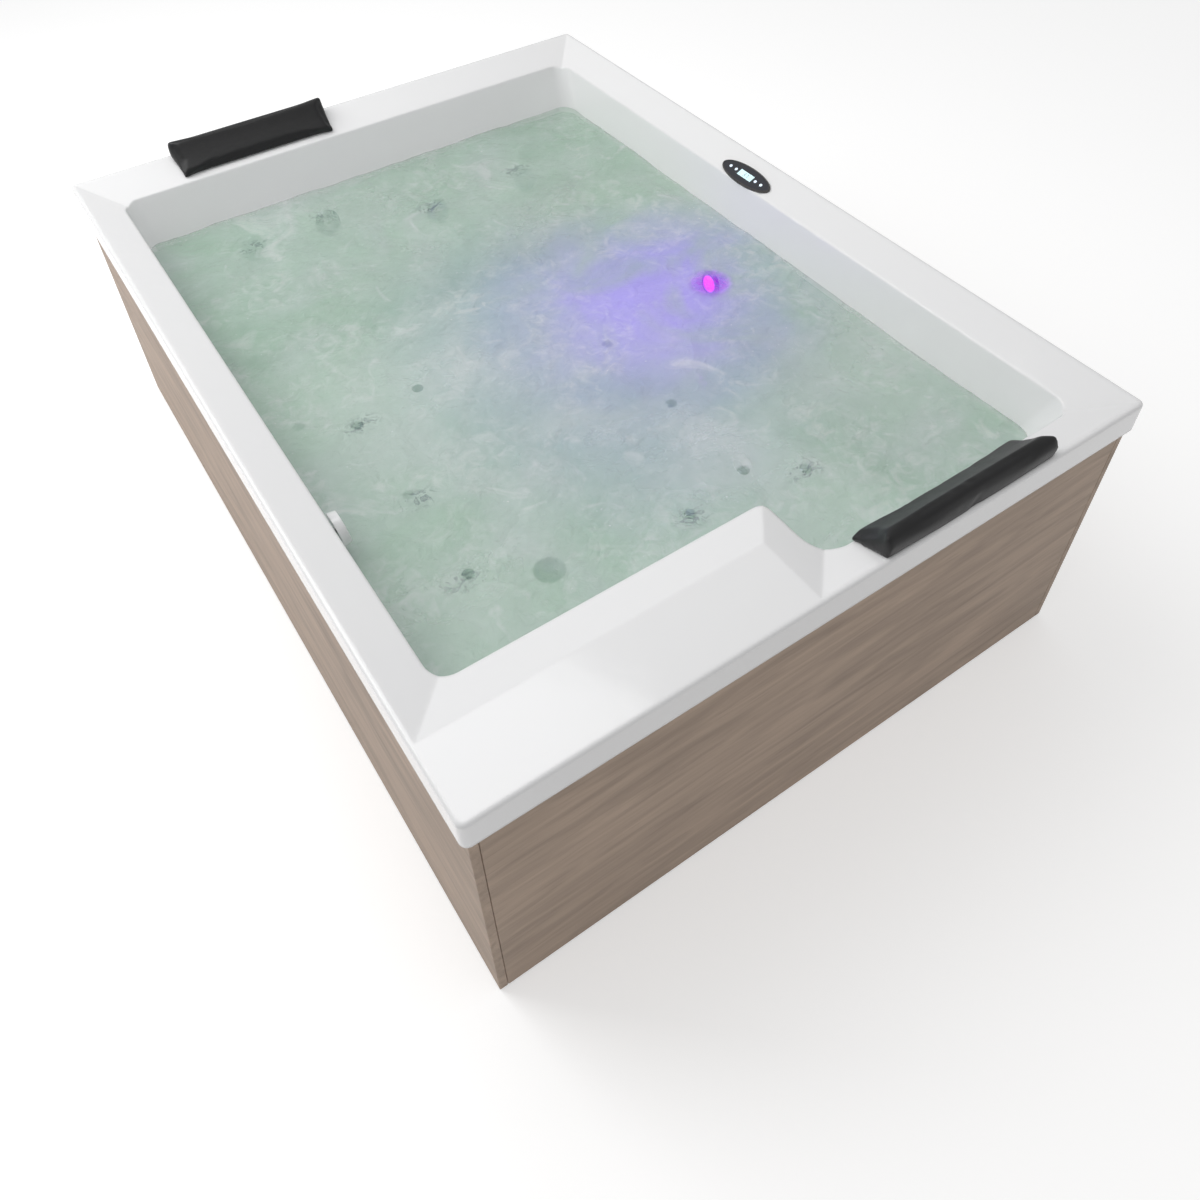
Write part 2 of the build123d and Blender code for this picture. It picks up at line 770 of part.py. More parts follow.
# Overflow knob on the left wall, which works the plug by a cable
knob_radius = 34.0
knob_front = 31.0
knob_gap = 5.0
knob_height = 16.0
knob_stem = 5.0
knob_stem_length = 34.0
knob_outline = [
    (0, -knob_stem_length),
    (knob_stem, -knob_stem_length),
    (knob_stem, knob_gap),
    (knob_radius, knob_gap),
    (knob_front, knob_gap + knob_height),
    (0, knob_gap + knob_height),
]
with BuildPart() as overflow_knob:
    add(turned(overflow_at, knob_outline))
overflow_knob.part.label = "overflow_knob"
export_step(overflow_knob.part, "parts/overflow_knob.step")


def pipework(runs):
    """Pipes glued up from straight lengths. Each run is an outer radius and a list of corners."""
    with BuildPart() as pipes:
        for radius, corners in runs:
            with BuildLine() as route:
                Polyline(*corners)
            with BuildSketch(Plane(origin=route.line @ 0, z_dir=route.line % 0)):
                Circle(radius)
            sweep(path=route.line, transition=Transition.RIGHT)
    return pipes.part


# Waste pipe: drain body with its socket, drop to the house's drain and a stub for the overflow
pipe_radius = 20.0
pipe_wall = 2.4
socket_radius = 23.5
outlet_length = 60.0
drain_body_depth = 30.0
waste_foot = 6.0
riser_radius = 11.0
stub_radius = 15.0
stub_reach = 45.0
overflow_run_z = 104.0
drain_x, drain_y = drain_at
socket_foot = waste_foot + outlet_length
socket = [(drain_x, drain_y, floor_height - drain_body_depth), (drain_x, drain_y, socket_foot)]
drop = [socket[1], (drain_x, drain_y, waste_foot)]
stub = [(drain_x, drain_y, overflow_run_z), (drain_x - stub_reach, drain_y, overflow_run_z)]
bore = [(drain_x, drain_y, floor_height), drop[1]]
with BuildPart() as waste_pipe:
    add(potted(drain_plane, drain_neck, drain_body_radius, drain_body_depth))
    add(pipework([(socket_radius, socket), (pipe_radius, drop), (stub_radius, stub)]))
    add(pipework([(pipe_radius - pipe_wall, bore)]), mode=Mode.SUBTRACT)
waste_pipe.part.label = "waste_pipe"
export_step(waste_pipe.part, "parts/waste_pipe.step")

# Overflow pipe: body behind the knob and the riser down to the stub of the waste pipe
overflow_body_radius = 27.0
overflow_depth = 51.0
knob_socket = 36.0
riser_x = -width / 2 + 40.0
overflow_axis_z = overflow_at.origin.Z - (overflow_at.origin.X - riser_x) * tan(side_draft)
fall = [(riser_x, drain_y, overflow_axis_z), (riser_x, drain_y, overflow_run_z), stub[1]]
with BuildPart() as overflow_pipe:
    add(potted(overflow_at, overflow_neck, overflow_body_radius, wall + overflow_depth))
    add(pipework([(riser_radius, fall)]))
    with BuildSketch(overflow_at.offset(-knob_socket)):
        Circle(knob_stem + running_gap)
    extrude(amount=knob_socket, mode=Mode.SUBTRACT)
overflow_pipe.part.label = "overflow_pipe"
export_step(overflow_pipe.part, "parts/overflow_pipe.step")

# Pump: wet end with its impeller, finned motor and the board that carries it under the shelf
pump_board_size = (580.0, 195.0)
pump_board_at = (-350.0, -802.5)
pump_rise = 90.0
pump_x = -200.0
pump_y = -830.0
volute_radius = 85.0
volute_wall = 7.0
volute_depth = 56.0
inlet_length = 20.0
shaft_radius = 8.0
shaft_length = 64.0
motor_radius = 56.0
motor_length = 235.0
motor_step = 6.0
impeller_radius = 60.0
impeller_disc = 3.0
impeller_hub = 14.4
impeller_blades = 6
blade_thickness = 3.0
blade_length = 45.0
blade_middle = 36.0
blade_sweep = 35.0
blade_back_gap = 4.0
blade_front_gap = 12.0
outlet_radius = 14.0
outlet_socket = 17.0
outlet_lap = 2.0
outlet_rise = 92.0
pump_z = board_top + pump_rise
pump_at = Plane(origin=(pump_x, pump_y, pump_z), x_dir=(0, 1, 0), z_dir=(1, 0, 0))
air_radius = 12.0
air_drop_x = -485.0
blower_at = (-570.0, -840.0)
with BuildPart() as pump_board:
    with BuildSketch(Plane.XY.offset(board_top)):
        with Locations(pump_board_at):
            Rectangle(*pump_board_size)
        with Locations((air_drop_x, blower_at[1])):
            Circle(air_radius + fitting_room, mode=Mode.SUBTRACT)
    extrude(amount=-board_thickness)
pump_board.part.label = "pump_board"
export_step(pump_board.part, "parts/pump_board.step")

volute_outline = [
    (shaft_radius + running_gap, 0),
    (volute_radius, 0),
    (volute_radius, volute_depth),
    (pipe_radius, volute_depth),
    (pipe_radius, volute_depth + inlet_length),
    (0, volute_depth + inlet_length),
    (0, volute_depth - volute_wall),
    (volute_radius - volute_wall, volute_depth - volute_wall),
    (volute_radius - volute_wall, volute_wall),
    (shaft_radius + running_gap, volute_wall),
]
outlet_at = Plane(origin=(pump_x + volute_depth / 2, pump_y, pump_z))
with BuildPart() as pump_volute:
    add(turned(pump_at, volute_outline))
    outlet_start = volute_radius - volute_wall - outlet_lap
    with BuildSketch(outlet_at.offset(outlet_start)):
        Circle(outlet_socket)
    extrude(amount=outlet_rise - outlet_start)
pump_volute.part.label = "pump_volute"
export_step(pump_volute.part, "parts/pump_volute.step")

blade_foot = volute_wall + blade_back_gap
blade_top = volute_depth - volute_wall - blade_front_gap
with BuildPart() as pump_impeller:
    with BuildSketch(pump_at.offset(blade_foot)):
        Circle(impeller_radius)
    extrude(amount=impeller_disc)
    with BuildSketch(pump_at.offset(blade_foot)):
        Circle(impeller_hub)
        with PolarLocations(blade_middle, impeller_blades):
            with Locations(Rotation(0, 0, blade_sweep)):
                Rectangle(blade_length, blade_thickness)
    extrude(amount=blade_top - blade_foot)
    with BuildSketch(pump_at.offset(blade_foot)):
        Circle(shaft_radius)
    extrude(amount=-shaft_length)
pump_impeller.part.label = "pump_impeller"
export_step(pump_impeller.part, "parts/pump_impeller.step")

shaft_end_gap = 2.0
shaft_bore_end = -shaft_length + blade_foot - shaft_end_gap
end_bell = 14.0
motor_outline = [
    (shaft_radius + running_gap, 0),
    (motor_radius + motor_step, 0),
    (motor_radius + motor_step, -end_bell),
    (motor_radius, -end_bell),
    (motor_radius, -motor_length),
    (0, -motor_length),
    (0, shaft_bore_end),
    (shaft_radius + running_gap, shaft_bore_end),
]
motor_foot_height = 8.0
terminal_rise = 24.0
motor_foot = (100.0, 90.0)
motor_saddle = (60.0, 45.0)
motor_lap = 5.6
terminal_box = (80.0, 63.0)
with BuildPart() as pump_motor:
    add(turned(pump_at, motor_outline))
    foot_x = pump_x - motor_length / 2
    with BuildSketch(Plane.XY.offset(board_top)):
        with Locations((foot_x, pump_y)):
            Rectangle(*motor_foot)
    extrude(amount=motor_foot_height)
    with BuildSketch(Plane.XY.offset(board_top)):
        with Locations((foot_x, pump_y)):
            Rectangle(*motor_saddle)
    extrude(amount=pump_rise - motor_radius + motor_lap)
    with BuildSketch(Plane.XY.offset(pump_z)):
        with Locations((foot_x, pump_y)):
            Rectangle(*terminal_box)
    extrude(amount=motor_radius + terminal_rise)
pump_motor.part.label = "pump_motor"
export_step(pump_motor.part, "parts/pump_motor.step")

# Suction pipe: cup behind the grille and the pipe round to the pump's inlet
suction_body = 46.0
suction_depth = 30.0
suction_reach = 44.0
suction_run_x = -60.0
inlet_x = pump_x + volute_depth + inlet_length
suction_tail = suction_at.offset(-wall - suction_depth).origin
suction_turn = suction_at.offset(-wall - suction_depth - suction_reach).origin
suction_corners = [
    suction_tail,
    suction_turn,
    (suction_run_x, suction_turn.Y, suction_turn.Z),
    (suction_run_x, pump_y, pump_z),
    (inlet_x, pump_y, pump_z),
]
with BuildPart() as suction_pipe:
    add(potted(suction_at, suction_neck, suction_body, wall + suction_depth))
    add(pipework([(pipe_radius, suction_corners)]))
    with BuildSketch(suction_at.offset(-suction_depth)):
        Circle(pipe_radius)
    extrude(amount=suction_depth, mode=Mode.SUBTRACT)
suction_pipe.part.label = "suction_pipe"
export_step(suction_pipe.part, "parts/suction_pipe.step")

# Pressure pipes: one main round three sides of the tub, with a branch to each jet
branch_length = 30.0
branch_radius = 10.0
tee_step = 1.0
main_x = -width / 2 + 83.0
crossover = 40.0
rise_x = -50.0
far_lumbar = jets["far_lumbar_left"].offset(-jet_tail - branch_length).origin
far_foot = jets["far_foot_right"].offset(-jet_tail - branch_length).origin
near_foot = jets["near_foot_left"].offset(-jet_tail - branch_length).origin
near_lumbar = jets["near_lumbar_right"].offset(-jet_tail - branch_length).origin
main_corners = [
    far_foot,
    (crossover, far_foot.Y, far_foot.Z),
    (-crossover, far_lumbar.Y, far_lumbar.Z),
    (main_x, far_lumbar.Y, far_lumbar.Z),
    (main_x, near_foot.Y, near_foot.Z),
    (rise_x, near_foot.Y, near_foot.Z),
    (rise_x, near_lumbar.Y, near_lumbar.Z),
    near_lumbar,
]
outlet_x = pump_x + volute_depth / 2
outlet_corners = [
    (outlet_x, pump_y, pump_z + outlet_rise),
    (outlet_x, pump_y, near_foot.Z),
    (outlet_x, near_foot.Y, near_foot.Z),
]
main_runs = [(outlet_radius, main_corners), (outlet_radius - tee_step, outlet_corners)]
for plane in jets.values():
    tail = plane.offset(-jet_tail).origin
    main_runs.append((branch_radius, [tail, plane.offset(-jet_tail - branch_length).origin]))
with BuildPart() as pressure_pipes:
    add(pipework(main_runs))
pressure_pipes.part.label = "pressure_pipes"
export_step(pressure_pipes.part, "parts/pressure_pipes.step")

# Blower and the air pipes below the floor that feed the injectors
blower_radius = 58.0
blower_height = 110.0
blower_neck = 16.0
air_loop_z = 430.0
air_low_z = 40.0
air_z = 75.0
air_cross_y = -160.0
barb_radius = 7.0
spur_sink = 0.5
spur_z = floor_height - injector_depth - barb_radius - spur_sink
air_start_y = -700.0
air_row_end = 420.0
right_row_end = 360.0
column = injector_column
blower_top = board_top + blower_height
with BuildPart() as blower:
    with BuildSketch(Plane.XY.offset(board_top)):
        with Locations(blower_at):
            Circle(blower_radius)
    extrude(amount=blower_height)
    with BuildSketch(Plane.XY.offset(blower_top)):
        with Locations(blower_at):
            Circle(blower_neck)
    extrude(amount=blower_neck)
blower.part.label = "blower"
export_step(blower.part, "parts/blower.step")

feed = [
    (*blower_at, blower_top + blower_neck),
    (*blower_at, air_loop_z),
    (air_drop_x, blower_at[1], air_loop_z),
    (air_drop_x, blower_at[1], air_low_z),
    (-column, blower_at[1], air_low_z),
    (-column, air_start_y, air_z),
    (-column, air_row_end, air_z),
]
right_row = [(column, -air_row_end, air_z), (column, right_row_end, air_z)]
crossing = [(-column, air_cross_y, air_z), (column, air_cross_y, air_z)]
air_runs = [
    (air_radius, feed),
    (air_radius, right_row),
    (air_radius - tee_step, crossing),
]
for x, y in injectors:
    if abs(x) != column:
        row_x = column if x > 0 else -column
        reach = barb_radius if abs(x) > column else -barb_radius
        spur_end = x + (reach if x > 0 else -reach)
        air_runs.append((barb_radius, [(row_x, y, spur_z), (spur_end, y, spur_z)]))
with BuildPart() as air_pipes:
    add(pipework(air_runs))
air_pipes.part.label = "air_pipes"
export_step(air_pipes.part, "parts/air_pipes.step")

# Control box: the electronics in a splash-proof case under the shelf
control_size = (200.0, 80.0, 60.0)
control_at = (-320.0, -855.0)
control_chamfer = 4.0
with BuildPart() as control_box:
    with BuildSketch(Plane.XY.offset(height - wall - seat_gap)):
        with Locations(control_at):
            Rectangle(control_size[0], control_size[1])
    extrude(amount=-control_size[2])
    chamfer(control_box.faces().sort_by(Axis.Z)[0].edges(), control_chamfer)
control_box.part.label = "control_box"
export_step(control_box.part, "parts/control_box.step")
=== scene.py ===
"""Looks of a two-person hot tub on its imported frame: shell, water, headrests, aprons and fittings.

Metres, +Z up, with the origin on the floor below the middle of the rim, as in the frame.
"""

from math import atan, cos, pi, radians, sin

import bmesh
import bpy
from mathutils import Matrix, Vector, noise


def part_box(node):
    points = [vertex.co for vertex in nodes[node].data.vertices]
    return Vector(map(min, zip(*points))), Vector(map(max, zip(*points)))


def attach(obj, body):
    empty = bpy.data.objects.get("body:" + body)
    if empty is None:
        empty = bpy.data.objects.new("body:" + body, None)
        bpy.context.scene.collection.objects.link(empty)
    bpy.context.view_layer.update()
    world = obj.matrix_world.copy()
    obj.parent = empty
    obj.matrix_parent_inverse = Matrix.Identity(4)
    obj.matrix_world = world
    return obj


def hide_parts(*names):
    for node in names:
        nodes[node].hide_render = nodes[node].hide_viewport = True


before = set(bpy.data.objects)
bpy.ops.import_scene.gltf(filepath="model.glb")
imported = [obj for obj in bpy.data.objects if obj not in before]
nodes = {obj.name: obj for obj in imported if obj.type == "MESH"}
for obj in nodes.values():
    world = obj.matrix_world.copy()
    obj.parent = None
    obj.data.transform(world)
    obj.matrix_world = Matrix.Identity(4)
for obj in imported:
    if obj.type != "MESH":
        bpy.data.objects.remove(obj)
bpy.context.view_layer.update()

# Camera: a standing person's view from in front of the left corner, down across the tub.
# Its place and lens follow from the corners of the rim and of the aprons.
eye = Vector((-0.8775, -1.5587, 1.9463))
azimuth = radians(32.4456)
elevation = radians(-44.5989)
roll = radians(-1.7635)
look = Vector((sin(azimuth) * cos(elevation), cos(azimuth) * cos(elevation), sin(elevation)))
level_right = Vector((cos(azimuth), -sin(azimuth), 0))
level_up = level_right.cross(look)
right = cos(roll) * level_right + sin(roll) * level_up
up = cos(roll) * level_up - sin(roll) * level_right
camera = bpy.data.objects.new("camera", bpy.data.cameras.new("camera"))
camera.data.lens = 31.7106
camera.data.shift_x = 0.01269
camera.data.shift_y = -0.13844
turned = Matrix((right, up, -look)).transposed().to_4x4()
camera.matrix_world = Matrix.Translation(eye) @ turned
bpy.context.scene.collection.objects.link(camera)
bpy.context.scene.camera = camera
bpy.context.scene.view_settings.view_transform = "Standard"


# Floor: a plain white studio floor, laid level below the tub. It is matt, glows a little
# to the eye, and takes the tub's soft shadow.
floor_reach = 30.0
floor_grey = (0.8, 0.8, 0.8)
floor_glow = 0.42


def new_object(name, form):
    """Object at the origin from a finished bmesh."""
    mesh = bpy.data.meshes.new(name)
    form.to_mesh(mesh)
    form.free()
    piece = bpy.data.objects.new(name, mesh)
    bpy.context.scene.collection.objects.link(piece)
    return piece


def new_material(name, colour, roughness, **plain):
    """Material with its shader's plain values set; returns the material and the shader."""
    material = bpy.data.materials.new(name)
    material.use_nodes = True
    shader = material.node_tree.nodes["Principled BSDF"]
    shader.inputs["Base Color"].default_value = (*colour, 1)
    shader.inputs["Roughness"].default_value = roughness
    for socket, value in plain.items():
        shader.inputs[socket.replace("_", " ").title()].default_value = value
    return material, shader


def seen_rays(tree):
    """One for rays from the camera, from mirrors and through glass, nought for the light's own."""
    path = tree.nodes.new("ShaderNodeLightPath")
    first = tree.nodes.new("ShaderNodeMath")
    second = tree.nodes.new("ShaderNodeMath")
    first.operation = second.operation = "MAXIMUM"
    tree.links.new(path.outputs["Is Camera Ray"], first.inputs[0])
    tree.links.new(path.outputs["Is Glossy Ray"], first.inputs[1])
    tree.links.new(first.outputs[0], second.inputs[0])
    tree.links.new(path.outputs["Is Transmission Ray"], second.inputs[1])
    return second.outputs[0]


form = bmesh.new()
bmesh.ops.create_grid(form, x_segments=1, y_segments=1, size=floor_reach)
floor = new_object("floor", form)
floor_paint, shader = new_material("floor_paint", floor_grey, 0.9)
shader.inputs["Emission Color"].default_value = (1, 1, 1, 1)
glow = floor_paint.node_tree.nodes.new("ShaderNodeMath")
glow.operation = "MULTIPLY"
glow.inputs[1].default_value = floor_glow
floor_paint.node_tree.links.new(seen_rays(floor_paint.node_tree), glow.inputs[0])
floor_paint.node_tree.links.new(glow.outputs[0], shader.inputs["Emission Strength"])
floor.data.materials.append(floor_paint)

# Light: an even white room, a large soft lamp high on the left that makes the left side
# the brighter one, and a smaller and weaker lamp above. The front stays in shade.
room_light = 0.52
lamp_aim = Vector((0, 0, 0.4))
world = bpy.data.worlds.new("room")
world.use_nodes = True
bpy.context.scene.world = world
room = world.node_tree
fill = room.nodes["Background"]
fill.inputs["Color"].default_value = (1, 1, 1, 1)
fill.inputs["Strength"].default_value = room_light
white = room.nodes.new("ShaderNodeBackground")
white.inputs["Strength"].default_value = 1.0
white.inputs["Color"].default_value = (1, 1, 1, 1)
swap = room.nodes.new("ShaderNodeMixShader")
path = room.nodes.new("ShaderNodeLightPath")
room.links.new(path.outputs["Is Camera Ray"], swap.inputs[0])
room.links.new(fill.outputs[0], swap.inputs[1])
room.links.new(white.outputs[0], swap.inputs[2])
room.links.new(swap.outputs[0], room.nodes["World Output"].inputs["Surface"])


def soft_lamp(name, place, size, power):
    """Square area lamp that faces the middle of the tub."""
    lamp = bpy.data.lights.new(name, "AREA")
    lamp.size = size
    lamp.energy = power
    piece = bpy.data.objects.new(name, lamp)
    piece.location = place
    piece.rotation_euler = (lamp_aim - Vector(place)).to_track_quat("-Z", "Y").to_euler()
    bpy.context.scene.collection.objects.link(piece)


soft_lamp("key_lamp", (-1.9, 1.7, 2.9), size=2.2, power=52)
soft_lamp("top_lamp", (-0.4, 0.6, 3.3), size=1.6, power=18)


# Tub shell: one sheet of white sanitary acrylic, vacuum formed and polished. The forming
# leaves a very slight wave in its gloss, and its edges are shaded as if they were round.
def grain_group():
    """Node group for a moulded or painted surface: mottled colour and roughness, and its relief."""
    group = bpy.data.node_groups.new("surface_grain", "ShaderNodeTree")
    sockets = [
        ("Place", "INPUT", "NodeSocketVector"),
        ("Colour", "INPUT", "NodeSocketColor"),
        ("Second Colour", "INPUT", "NodeSocketColor"),
        ("Mottle Scale", "INPUT", "NodeSocketFloat"),
        ("Relief Scale", "INPUT", "NodeSocketFloat"),
        ("Roughness", "INPUT", "NodeSocketFloat"),
        ("Roughness Spread", "INPUT", "NodeSocketFloat"),
        ("Colour", "OUTPUT", "NodeSocketColor"),
        ("Roughness", "OUTPUT", "NodeSocketFloat"),
        ("Height", "OUTPUT", "NodeSocketFloat"),
    ]
    for name, way, kind in sockets:
        group.interface.new_socket(name=name, in_out=way, socket_type=kind)
    given = group.nodes.new("NodeGroupInput")
    made = group.nodes.new("NodeGroupOutput")
    mottle = group.nodes.new("ShaderNodeTexNoise")
    relief = group.nodes.new("ShaderNodeTexNoise")
    mottle.inputs["Detail"].default_value = 5
    relief.inputs["Detail"].default_value = 3
    blend = group.nodes.new("ShaderNodeMix")
    blend.data_type = "RGBA"
    centre = group.nodes.new("ShaderNodeMath")
    centre.operation = "SUBTRACT"
    centre.inputs[1].default_value = 0.5
    spread = group.nodes.new("ShaderNodeMath")
    spread.operation = "MULTIPLY_ADD"
    wires = [
        (given.outputs["Place"], mottle.inputs["Vector"]),
        (given.outputs["Place"], relief.inputs["Vector"]),
        (given.outputs["Mottle Scale"], mottle.inputs["Scale"]),
        (given.outputs["Relief Scale"], relief.inputs["Scale"]),
        (mottle.outputs["Fac"], blend.inputs["Factor"]),
        (given.outputs["Colour"], blend.inputs["A"]),
        (given.outputs["Second Colour"], blend.inputs["B"]),
        (mottle.outputs["Fac"], centre.inputs[0]),
        (centre.outputs[0], spread.inputs[0]),
        (given.outputs["Roughness Spread"], spread.inputs[1]),
        (given.outputs["Roughness"], spread.inputs[2]),
        (blend.outputs["Result"], made.inputs["Colour"]),
        (spread.outputs[0], made.inputs["Roughness"]),
        (relief.outputs["Fac"], made.inputs["Height"]),
    ]
    for start, end in wires:
        group.links.new(start, end)
    return group


surface_grain = grain_group()


def grained(name, colours, mottle, relief, roughness, spread, depth, edge=0.0, **plain):
    """Material of a moulded or painted piece. depth is its relief and edge its edge radius, in metres."""
    material, shader = new_material(name, colours[0], roughness, **plain)
    tree = material.node_tree
    place = tree.nodes.new("ShaderNodeTexCoord")
    grain = tree.nodes.new("ShaderNodeGroup")
    grain.node_tree = surface_grain
    grain.inputs["Colour"].default_value = (*colours[0], 1)
    grain.inputs["Second Colour"].default_value = (*colours[1], 1)
    grain.inputs["Mottle Scale"].default_value = mottle
    grain.inputs["Relief Scale"].default_value = relief
    grain.inputs["Roughness"].default_value = roughness
    grain.inputs["Roughness Spread"].default_value = spread
    bump = tree.nodes.new("ShaderNodeBump")
    bump.inputs["Distance"].default_value = depth
    tree.links.new(place.outputs["Object"], grain.inputs["Place"])
    tree.links.new(grain.outputs["Colour"], shader.inputs["Base Color"])
    tree.links.new(grain.outputs["Roughness"], shader.inputs["Roughness"])
    tree.links.new(grain.outputs["Height"], bump.inputs["Height"])
    tree.links.new(bump.outputs["Normal"], shader.inputs["Normal"])
    if edge:
        soft_edge = tree.nodes.new("ShaderNodeBevel")
        soft_edge.samples = 6
        soft_edge.inputs["Radius"].default_value = edge
        tree.links.new(soft_edge.outputs["Normal"], bump.inputs["Normal"])
    return material


def dress(material, *names):
    """Gives CAD nodes their material."""
    for name in names:
        nodes[name].data.materials.clear()
        nodes[name].data.materials.append(material)


acrylic = grained(
    "polished_acrylic",
    [(0.89, 0.89, 0.89), (0.87, 0.87, 0.88)],
    mottle=2.0,
    relief=9.0,
    roughness=0.16,
    spread=0.08,
    depth=0.0012,
    edge=0.010,
    coat_weight=0.5,
    coat_roughness=0.06,
)
dress(acrylic, "tub_shell")

# Wooden boards inside: the plywood under the basin's floor and under the pump, and the
# battens bonded below the rim. They are raw birch, sealed with clear resin.
plain_wood = grained(
    "sealed_plywood",
    [(0.56, 0.42, 0.26), (0.40, 0.27, 0.15)],
    mottle=14.0,
    relief=90.0,
    roughness=0.5,
    spread=0.2,
    depth=0.0006,
)
dress(plain_wood, "floor_board", "pump_board", "rim_battens")

# Steel base: square tubes, welded and powder coated in grey. The studs and nuts of its
# feet are bright zinc, and the pads below them are black rubber.
frame_steel = grained(
    "grey_powder_coat",
    [(0.16, 0.165, 0.17), (0.12, 0.125, 0.13)],
    mottle=20.0,
    relief=1400.0,
    roughness=0.45,
    spread=0.1,
    depth=0.0002,
    metallic=0.3,
)
dress(frame_steel, "long_rails", "cross_rails", "rim_posts")
zinc_steel = grained(
    "zinc_plate",
    [(0.62, 0.62, 0.6), (0.5, 0.5, 0.5)],
    mottle=60.0,
    relief=500.0,
    roughness=0.32,
    spread=0.2,
    depth=0.0001,
    metallic=1.0,
)
dress(zinc_steel, "foot_studs", "foot_nuts")
rubber = grained(
    "black_rubber",
    [(0.022, 0.022, 0.022), (0.04, 0.04, 0.04)],
    mottle=40.0,
    relief=700.0,
    roughness=0.8,
    spread=0.15,
    depth=0.0003,
)
dress(rubber, "foot_pads")


# Aprons: four boards with a matt wood print, oak with a grey stain. The grain runs level
# along each board, with darker streaks and short pores.
light_oak = (0.50, 0.375, 0.285, 1)
dark_oak = (0.265, 0.195, 0.145, 1)
pore_brown = (0.20, 0.14, 0.11, 1)


def wood_group():
    """Node group for printed wood grain that runs along the X axis of the place it is given."""
    group = bpy.data.node_groups.new("wood_grain", "ShaderNodeTree")
    sockets = [
        ("Place", "INPUT", "NodeSocketVector"),
        ("Light Wood", "INPUT", "NodeSocketColor"),
        ("Dark Wood", "INPUT", "NodeSocketColor"),
        ("Pore", "INPUT", "NodeSocketColor"),
        ("Colour", "OUTPUT", "NodeSocketColor"),
        ("Height", "OUTPUT", "NodeSocketFloat"),
    ]
    for name, way, kind in sockets:
        group.interface.new_socket(name=name, in_out=way, socket_type=kind)
    given = group.nodes.new("NodeGroupInput")
    made = group.nodes.new("NodeGroupOutput")
    tones = []
    for stretch, scale, detail, distortion in (
        ((2.0, 13.0, 13.0), 1.5, 5, 1.1),
        ((2.4, 55.0, 55.0), 1.5, 6, 0.4),
        ((14.0, 420.0, 420.0), 1.0, 2, 0.0),
    ):
        turn = group.nodes.new("ShaderNodeMapping")
        turn.inputs["Scale"].default_value = stretch
        tone = group.nodes.new("ShaderNodeTexNoise")
        tone.inputs["Scale"].default_value = scale
        tone.inputs["Detail"].default_value = detail
        tone.inputs["Distortion"].default_value = distortion
        group.links.new(given.outputs["Place"], turn.inputs["Vector"])
        group.links.new(turn.outputs["Vector"], tone.inputs["Vector"])
        tones.append(tone.outputs["Fac"])
    broad = group.nodes.new("ShaderNodeMapRange")
    broad.inputs["From Min"].default_value = 0.36
    broad.inputs["From Max"].default_value = 0.68
    narrow = group.nodes.new("ShaderNodeMapRange")
    narrow.inputs["From Min"].default_value = 0.3
    narrow.inputs["From Max"].default_value = 0.75
    narrow.inputs["To Max"].default_value = 0.4
    pores = group.nodes.new("ShaderNodeMapRange")
    pores.inputs["From Min"].default_value = 0.6
    pores.inputs["From Max"].default_value = 0.72
    pores.inputs["To Max"].default_value = 0.35
    both = group.nodes.new("ShaderNodeMath")
    both.operation = "MULTIPLY_ADD"
    both.use_clamp = True
    both.inputs[1].default_value = 0.55
    board = group.nodes.new("ShaderNodeMix")
    board.data_type = "RGBA"
    pored = group.nodes.new("ShaderNodeMix")
    pored.data_type = "RGBA"
    wires = [
        (tones[0], broad.inputs["Value"]),
        (tones[1], narrow.inputs["Value"]),
        (tones[2], pores.inputs["Value"]),
        (broad.outputs[0], both.inputs[0]),
        (narrow.outputs[0], both.inputs[2]),
        (both.outputs[0], board.inputs["Factor"]),
        (given.outputs["Light Wood"], board.inputs["A"]),
        (given.outputs["Dark Wood"], board.inputs["B"]),
        (pores.outputs[0], pored.inputs["Factor"]),
        (board.outputs["Result"], pored.inputs["A"]),
        (given.outputs["Pore"], pored.inputs["B"]),
        (pored.outputs["Result"], made.inputs["Colour"]),
        (tones[2], made.inputs["Height"]),
    ]
    for start, end in wires:
        group.links.new(start, end)
    return group


wood_grain = wood_group()


def wood_print(name, quarter_turn, shift):
    """Wood-look board whose grain runs along X, or along Y after a quarter turn."""
    material, shader = new_material(name, light_oak[:3], 0.55)
    tree = material.node_tree
    place = tree.nodes.new("ShaderNodeTexCoord")
    turn = tree.nodes.new("ShaderNodeMapping")
    turn.inputs["Rotation"].default_value = (0, 0, pi / 2 if quarter_turn else 0)
    turn.inputs["Location"].default_value = (shift, 0, shift)
    wood = tree.nodes.new("ShaderNodeGroup")
    wood.node_tree = wood_grain
    wood.inputs["Light Wood"].default_value = light_oak
    wood.inputs["Dark Wood"].default_value = dark_oak
    wood.inputs["Pore"].default_value = pore_brown
    bump = tree.nodes.new("ShaderNodeBump")
    bump.inputs["Distance"].default_value = 0.0004
    tree.links.new(place.outputs["Object"], turn.inputs["Vector"])
    tree.links.new(turn.outputs["Vector"], wood.inputs["Place"])
    tree.links.new(wood.outputs["Colour"], shader.inputs["Base Color"])
    tree.links.new(wood.outputs["Height"], bump.inputs["Height"])
    tree.links.new(bump.outputs["Normal"], shader.inputs["Normal"])
    return material


dress(wood_print("apron_print_left", quarter_turn=True, shift=0.0), "apron_left")
dress(wood_print("apron_print_right", quarter_turn=True, shift=3.1), "apron_right")
dress(wood_print("apron_print_front", quarter_turn=False, shift=5.7), "apron_front")
dress(wood_print("apron_print_back", quarter_turn=False, shift=8.3), "apron_back")

